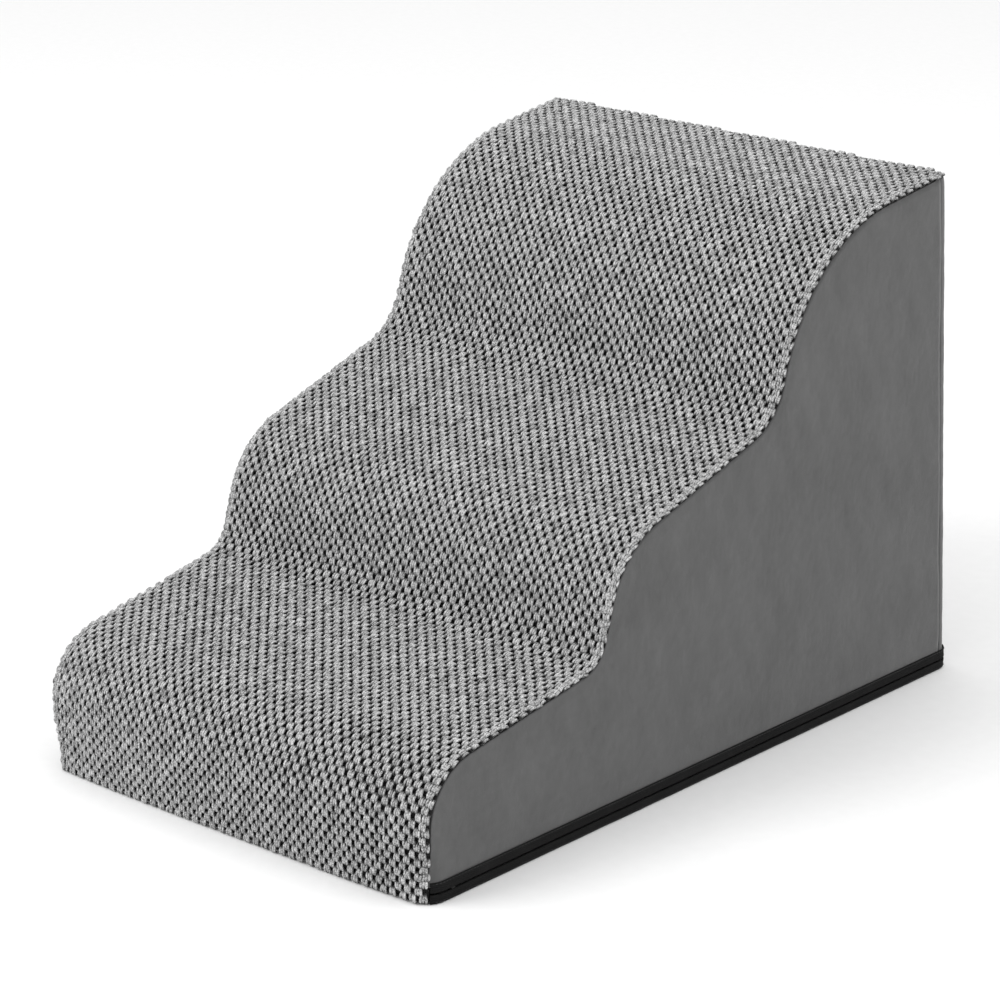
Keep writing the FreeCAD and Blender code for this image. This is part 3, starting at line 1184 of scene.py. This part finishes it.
@dataclass
class ZipBand:
    """Two tapes with their stitching, and the two rows of coil behind the slot."""

    start: float = -299.7
    lower: tuple[float, float] = (0.6, 7.3)
    upper: tuple[float, float] = (8.7, 16.5)
    tape: float = 0.9
    stitch: float = 2.3
    stitch_gap: float = 3.1
    stitch_thick: float = 0.32
    coil_depth: float = 2.2
    coil_high: float = 1.0
    coil_deep: float = 0.85
    coil_wire: float = 0.33
    coil_pitch: float = 1.7
    coil_steps: int = 8
    coil_heights: tuple[float, float] = (5.95, 10.05)
    coil_start: float = 8.5
    stitch_start: float = 4.0
    stitch_inset: float = 1.2
    sway: float = 0.25
    block: Block = BLOCK

    def path(self, gap: float, from_y: float) -> tuple[Array, Array]:
        """Line round the foot from the right front seam by the back to the left front seam.

        Args:
            gap: About how far apart the points are.
            from_y: Where it starts and ends.

        Returns:
            Points (x, y) and outward normals.
        """
        points, normals = self.block.plan(0.5)
        lowest = np.argmin(np.abs(points[:, 0]) + 1000 * (points[:, 1] > 0))
        points, normals = np.roll(points, -lowest, 0), np.roll(normals, -lowest, 0)
        keep = points[:, 1] >= from_y
        points, normals = points[keep], normals[keep]
        distance, at = spaced(points, gap)
        return read(distance, points, at), unit(read(distance, normals, at))

    def strip(self, name: str, section: Array, material: bpy.types.Material, node: str) -> Piece:
        """A strip swept round the foot, closed at both ends.

        Args:
            name: The piece's name.
            section: Its outline, as distance out from the outer face and height.
            material: Its material.
            node: The CAD node that it replaces.

        Returns:
            The strip.
        """
        points, normals = self.path(3.0, self.start)
        free = np.clip((points[:, 0] + 150) / 40, 0, 1)
        sway = self.sway * free * ripple(SEED + 5, 90.0, points[:, 0], points[:, 1])
        out = points[:, None] + normals[:, None] * (section[None, :, :1] + sway[:, None, None])
        high = np.broadcast_to(section[None, :, 1], out.shape[:2])
        grid = np.concatenate([out, high[..., None]], -1)
        count, around = grid.shape[:2]
        ends = [np.arange(around)[None, ::-1], np.arange(around)[None] + (count - 1) * around]
        body = grid_faces(count, around, ring=True)
        piece = make_piece(name, grid.reshape(-1, 3), [body, *ends])
        return dress(piece, material, Slot.ZIP_TAPE, node)

    def tape_section(self, low: float, high: float, fold: float, hem_up: bool) -> Array:
        """Outline of a tape: a hem along the slot, a pressed line, and a flat sewn edge.

        Args:
            low: Height of its lower edge.
            high: Height of its upper edge.
            fold: Height of the pressed line.
            hem_up: True if the hem is along the upper edge.

        Returns:
            Points (out, height), round the tape.
        """
        steps = np.linspace(0.0, 1.0, 15)
        height = low + (high - low) * steps
        hem = steps if hem_up else 1 - steps
        face = -0.12 + 0.26 * np.exp(-(((hem - 0.86) / 0.12) ** 2))
        face = face - 0.30 * np.exp(-(((height - fold) / 0.35) ** 2))
        face[[0, -1]] -= 0.30
        back = np.column_stack([np.full(3, -self.tape), [high - 0.1, (low + high) / 2, low + 0.1]])
        return np.concatenate([np.column_stack([face, height]), back])

    def stitches(self, name: str, height: float, material: bpy.types.Material) -> Piece:
        """A row of lockstitches round the foot.

        Args:
            name: The piece's name.
            height: Its height.
            material: The thread.

        Returns:
            The row.
        """
        points, normals = self.path(self.stitch_gap, self.start + self.stitch_start)
        along = unit(np.gradient(points, axis=0))
        rings, sides = 7, 6
        share = np.linspace(-1, 1, rings)
        bulge = np.sqrt(np.maximum(1 - share**2, 0.02))
        turn = np.arange(sides) * math.pi / 3
        reach = share[:, None] * self.stitch / 2 + 0 * turn
        out = self.stitch_thick * (bulge[:, None] * (0.35 + np.cos(turn)) - 0.45)
        up = self.stitch_thick * bulge[:, None] * np.sin(turn) + 0.12 * share[:, None]
        flat = along[:, None, None] * reach[..., None] + normals[:, None, None] * out[..., None]
        level = points[:, None, None] + flat
        high = np.broadcast_to(height + up, level.shape[:-1])
        grid = np.concatenate([level, high[..., None]], -1)
        stride = rings * sides
        caps = np.array([np.arange(sides)[::-1], np.arange(stride - sides, stride)])
        faces = [many(grid_faces(rings, sides, ring=True), len(points), stride)]
        faces.append(many(caps, len(points), stride))
        piece = make_piece(name, grid.reshape(-1, 3), faces)
        return dress(piece, material, Slot.ZIP_TAPE)

    def coil(
        self, name: str, height: float, turning: int, material: bpy.types.Material, node: str
    ) -> Piece:
        """A row of coil, wound round the line behind a tape's hem.

        Args:
            name: The piece's name.
            height: Height of its middle.
            turning: 1 or -1, the hand it is wound in.
            material: The nylon.
            node: The CAD node that it replaces.

        Returns:
            The coil.
        """
        points, normals = self.path(self.coil_pitch / self.coil_steps, self.start + self.coil_start)
        turn = turning * np.arange(len(points)) * 2 * math.pi / self.coil_steps
        out = -self.coil_depth + self.coil_deep * np.cos(turn)
        up = height + self.coil_high * np.sin(turn)
        centre = np.column_stack([points + normals * out[:, None], up])
        heading = unit(np.gradient(centre, axis=0))
        away = np.column_stack([normals * np.cos(turn)[:, None], np.sin(turn)])
        away = unit(away - heading * np.sum(away * heading, -1, keepdims=True))
        side = np.cross(heading, away)
        ring = np.arange(4) * math.pi / 2
        spokes = away[:, None] * np.cos(ring)[:, None] + side[:, None] * np.sin(ring)[:, None]
        grid = centre[:, None] + self.coil_wire * spokes
        body = grid_faces(len(grid), 4, ring=True)
        ends = [np.arange(4)[None, ::-1], np.arange(4)[None] + (len(grid) - 1) * 4]
        piece = make_piece(name, grid.reshape(-1, 3), [body, *ends])
        return dress(piece, material, Slot.ZIP_COIL, node)

    def build(
        self, weave: bpy.types.Material, thread: bpy.types.Material, nylon: bpy.types.Material
    ) -> dict[str, Piece]:
        """Make the tapes, the stitching and the coils.

        Args:
            weave: The tapes' material.
            thread: The stitching's material.
            nylon: The coils' material.

        Returns:
            The pieces by name.
        """
        lower = self.tape_section(*self.lower, fold=self.lower[0] + 2.4, hem_up=True)
        upper = self.tape_section(*self.upper, fold=self.upper[1] - 3.1, hem_up=False)
        made = [
            self.strip("tape_lower", lower, weave, "zip_tape_lower"),
            self.strip("tape_upper", upper, weave, "zip_tape_upper"),
            self.stitches("stitches_lower", self.lower[0] + self.stitch_inset, thread),
            self.stitches("stitches_upper", self.upper[1] - self.stitch_inset, thread),
            self.coil("coil_lower", self.coil_heights[0], 1, nylon, "zip_coil_lower"),
            self.coil("coil_upper", self.coil_heights[1], -1, nylon, "zip_coil_upper"),
        ]
        return {piece.name: piece for piece in made}


@dataclass
class ZipMetal:
    """Slider, pull tab and stops, which keep their CAD shapes with softened edges."""

    edge: float = 0.18
    clip_inset: float = 1.3
    nodes: tuple[str, ...] = ("zip_slider", "zip_pull_tab", "zip_top_stops")

    def build(self, material: bpy.types.Material) -> None:
        """Dress the metal pieces.

        Args:
            material: The lacquered metal.
        """
        for name in self.nodes:
            piece = paint_node(name, material)
            softened = piece.modifiers.new("edges", "BEVEL")
            softened.width = self.edge * MM
            softened.segments = 2
            softened.limit_method = "ANGLE"
            LOG.info("%s: CAD shape, edges softened", name)
        clip = narrowed("end_clip", "zip_bottom_stop", self.clip_inset, 0.0)
        dress(clip, material, Slot.ZIP_METAL, "zip_bottom_stop")


def paint_node(name: str, material: bpy.types.Material) -> Piece:
    """Give a CAD node a better material.

    Args:
        name: The node.
        material: Its new material.

    Returns:
        The node's object.
    """
    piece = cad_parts[name]
    if piece.data.materials:
        for index in range(len(piece.data.materials)):
            piece.data.materials[index] = material
    else:
        piece.data.materials.append(material)
    return piece


def narrowed(name: str, node: str, inset: float, draft: float, block: Block = BLOCK) -> Piece:
    """A copy of a CAD node's shape, drawn in towards the middle plane.

    Args:
        name: The copy's name.
        node: The CAD node.
        inset: How far its outer side moves in, at any height.
        draft: How much further it moves in at the ramp's full height.
        block: The ramp's outer form.

    Returns:
        The copy, with no material.
    """
    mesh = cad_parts[node].data.copy()
    points = np.empty(len(mesh.vertices) * 3, np.float32)
    mesh.vertices.foreach_get("co", points)
    points = points.reshape(-1, 3)
    move = inset + draft * points[:, 2] / (block.height * MM)
    points[:, 0] *= 1 - move / (block.width / 2)
    mesh.vertices.foreach_set("co", points.ravel())
    mesh.materials.clear()
    mesh.update()
    piece = bpy.data.objects.new(name, mesh)
    bpy.context.scene.collection.objects.link(piece)
    return piece


# ---------------------------------------------------------------- underside and filling


@dataclass
class BasePanel:
    """Anti-slip cloth with a print of rubber dots."""

    depth: float = 1.0
    low: float = 0.6
    high: float = 2.0
    dot: float = 1.7
    dot_pitch: float = 10.0
    dot_rows: float = 8.66
    dot_margin: float = 9.0
    block: Block = BLOCK

    def cloth(self, material: bpy.types.Material) -> Piece:
        """The cloth, with its turned edge.

        Args:
            material: Its material.

        Returns:
            The cloth.
        """
        outline, outward = self.block.plan(4.0)
        middle = (self.low + self.high) / 2
        rings = []
        for inset, height in ((12, self.low), (1.2, self.low), (0.3, self.low + 0.2), (0.0, middle),
                              (0.3, self.high - 0.2), (1.2, self.high), (12, self.high)):
            spot = outline - outward * (self.depth + inset)
            rings.append(np.column_stack([spot, np.full(len(spot), height)]))
        count = len(outline)
        caps = [np.arange(count)[None, :], np.arange(count)[None, ::-1] + (len(rings) - 1) * count]
        body = grid_faces(len(rings), count, ring=True)
        piece = make_piece("base_cloth", np.concatenate(rings), [body[:, ::-1], *caps])
        return dress(piece, material, Slot.BASE_CLOTH, "base_panel")

    def dots(self, material: bpy.types.Material) -> Piece:
        """The printed dots, down to the floor.

        Args:
            material: The rubber.

        Returns:
            All dots as one piece.
        """
        reach = self.block.length / 2 - self.dot_margin
        rows = np.arange(-reach, reach, self.dot_rows)
        row, column = np.meshgrid(np.arange(len(rows)), np.arange(-22, 23), indexing="ij")
        x = ((column + 0.5 * (row % 2)) * self.dot_pitch).ravel()
        y = rows[row].ravel()
        inside = np.abs(x) < self.block.side_x(y, 0 * y) - self.dot_margin
        spot = np.column_stack([x, y])[inside]
        sides = 10
        turn = np.arange(sides) * 2 * math.pi / sides
        rings = []
        for share, height in ((1.0, self.low + 0.15), (0.94, self.low - 0.25), (0.66, 0.06), (0.3, 0.0)):
            ring = share * self.dot * np.column_stack([np.cos(turn), np.sin(turn)])
            level = spot[:, None] + ring[None]
            rings.append(np.concatenate([level, np.full((*level.shape[:2], 1), height)], -1))
        grid = np.concatenate(rings, 1)
        stride = len(rings) * sides
        caps = np.array([np.arange(sides), np.arange(stride - sides, stride)[::-1]])
        faces = [many(grid_faces(len(rings), sides, ring=True)[:, ::-1], len(spot), stride)]
        faces.append(many(caps, len(spot), stride))
        piece = make_piece("grip_dots", grid.reshape(-1, 3), faces)
        return dress(piece, material, Slot.BASE_CLOTH)

    def build(self, cloth: bpy.types.Material, rubber: bpy.types.Material) -> list[Piece]:
        """The cloth and its dots."""
        return [self.cloth(cloth), self.dots(rubber)]


@dataclass
class Filling:
    """Foam core, topper and liner inside the cover, drawn in with its slanting side walls."""

    inset: float = 1.2
    core: OpenCellFoam = OpenCellFoam("core_foam", 420.0, (0.42, 0.36, 0.22), (0.62, 0.55, 0.38))
    topper: OpenCellFoam = OpenCellFoam("topper_foam", 620.0, (0.55, 0.56, 0.58), (0.78, 0.79, 0.80))
    liner: LinerCloth = LinerCloth()
    block: Block = BLOCK

    def drawn_in(self, name: str, node: str, material: bpy.types.Material, slot: Slot) -> Piece:
        """A CAD node's shape, narrowed with its height as the cover is.

        Args:
            name: The piece's name.
            node: The CAD node.
            material: Its material.
            slot: The record's slot.

        Returns:
            The piece.
        """
        piece = narrowed(name, node, self.inset, self.block.side_draft)
        return dress(piece, material, slot, node)

    def build(self) -> list[Piece]:
        """Make the pieces inside the cover.

        Returns:
            The core and the topper, and then the liner's panels.
        """
        cloth = self.liner.make()
        return [
            self.drawn_in("core_block", "foam_core", self.core.make(), Slot.SUPPORT_FOAM),
            self.drawn_in("topper_slab", "foam_topper", self.topper.make(), Slot.COMFORT_FOAM),
            self.drawn_in("liner_long_panel", "liner_wrap", cloth, Slot.LINER_CLOTH),
            self.drawn_in("liner_left_panel", "liner_side_left", cloth, Slot.LINER_CLOTH),
            self.drawn_in("liner_right_panel", "liner_side_right", cloth, Slot.LINER_CLOTH),
        ]


# ---------------------------------------------------------------- studio


@dataclass(frozen=True)
class Lamp:
    """One soft square light, aimed at the middle of the ramp."""

    name: str
    spot: tuple[float, float, float]
    size: float
    watts: float

    def build(self, aim: Vector) -> None:
        """Hang the light.

        Args:
            aim: The point that it faces.
        """
        light = bpy.data.lights.new(self.name, "AREA")
        light.energy = self.watts
        light.size = self.size
        lamp = bpy.data.objects.new(self.name, light)
        lamp.location = self.spot
        lamp.rotation_euler = (aim - Vector(self.spot)).to_track_quat("-Z", "Y").to_euler()
        bpy.context.scene.collection.objects.link(lamp)


@dataclass
class Studio:
    """Pale floor, soft lights and the camera."""

    azimuth: float = 41.04
    elevation: float = 19.08
    distance: float = 2.815
    lens: float = 133.6
    target: tuple[float, float, float] = (-0.0133, 0.0, 0.1701)
    sky: float = 0.95
    lamps: tuple[Lamp, ...] = (
        Lamp("key", (-1.3, -2.2, 2.4), 1.8, 49.0),
        Lamp("top", (0.3, 0.6, 3.0), 2.2, 10.0),
        Lamp("fill", (1.9, 0.6, 2.0), 1.4, 11.5),
    )

    def build(self) -> None:
        """Make the floor, the lights, the sky and the camera."""
        ground = make_piece("studio_floor", self.floor_points(), [grid_faces(2, 2)])
        ground.data.materials.append(StudioFloor().make())
        aim = Vector(self.target)
        for lamp in self.lamps:
            lamp.build(aim)
        world = bpy.data.worlds.new("studio_sky")
        world.use_nodes = True
        world.node_tree.nodes["Background"].inputs["Color"].default_value = as_colour(1.0)
        world.node_tree.nodes["Background"].inputs["Strength"].default_value = self.sky
        bpy.context.scene.world = world
        bpy.context.scene.view_settings.view_transform = "Standard"
        self.camera(aim)

    @staticmethod
    def floor_points() -> Array:
        """Corners of the floor, in millimetres."""
        reach = 12000.0
        return np.array([[-reach, -reach, 0], [reach, -reach, 0], [-reach, reach, 0], [reach, reach, 0]])

    def camera(self, aim: Vector) -> None:
        """Set the camera up.

        Args:
            aim: The point in the middle of the view.
        """
        turn, tilt = math.radians(self.azimuth), math.radians(self.elevation)
        away = Vector((math.sin(turn) * math.cos(tilt), -math.cos(turn) * math.cos(tilt), math.sin(tilt)))
        lens = bpy.data.cameras.new("view")
        lens.lens = self.lens
        lens.sensor_width = 36.0
        lens.clip_end = 60.0
        camera = bpy.data.objects.new("view", lens)
        camera.location = aim + away * self.distance
        camera.rotation_euler = (-away).to_track_quat("-Z", "Y").to_euler()
        bpy.context.scene.collection.objects.link(camera)
        bpy.context.scene.camera = camera


# ---------------------------------------------------------------- the whole ramp


def declare(fabric: LoopFabric) -> None:
    """Work out what size the tread's cloth was cut to; the result is not kept.

    Args:
        fabric: The tread fabric.
    """
    fabric.flat()


def main() -> None:
    """Build the ramp's look and the studio."""
    logging.basicConfig(level=logging.INFO, format="%(name)s %(message)s")
    thread = Thread().make()
    fabric = LoopFabric()
    loops = fabric.build(LoopYarn().make(), OpenMesh().make())
    panels = SuedePanels().build(Suede().make())
    tapes = ZipBand().build(WovenTape().make(), thread, MouldedNylon().make())
    ZipMetal().build(LacqueredMetal().make())
    base = BasePanel().build(GripCloth().make(), GripRubber().make())
    filling = Filling().build()
    declare(fabric)
    Studio().build()


if __name__ == "__main__":
    main()
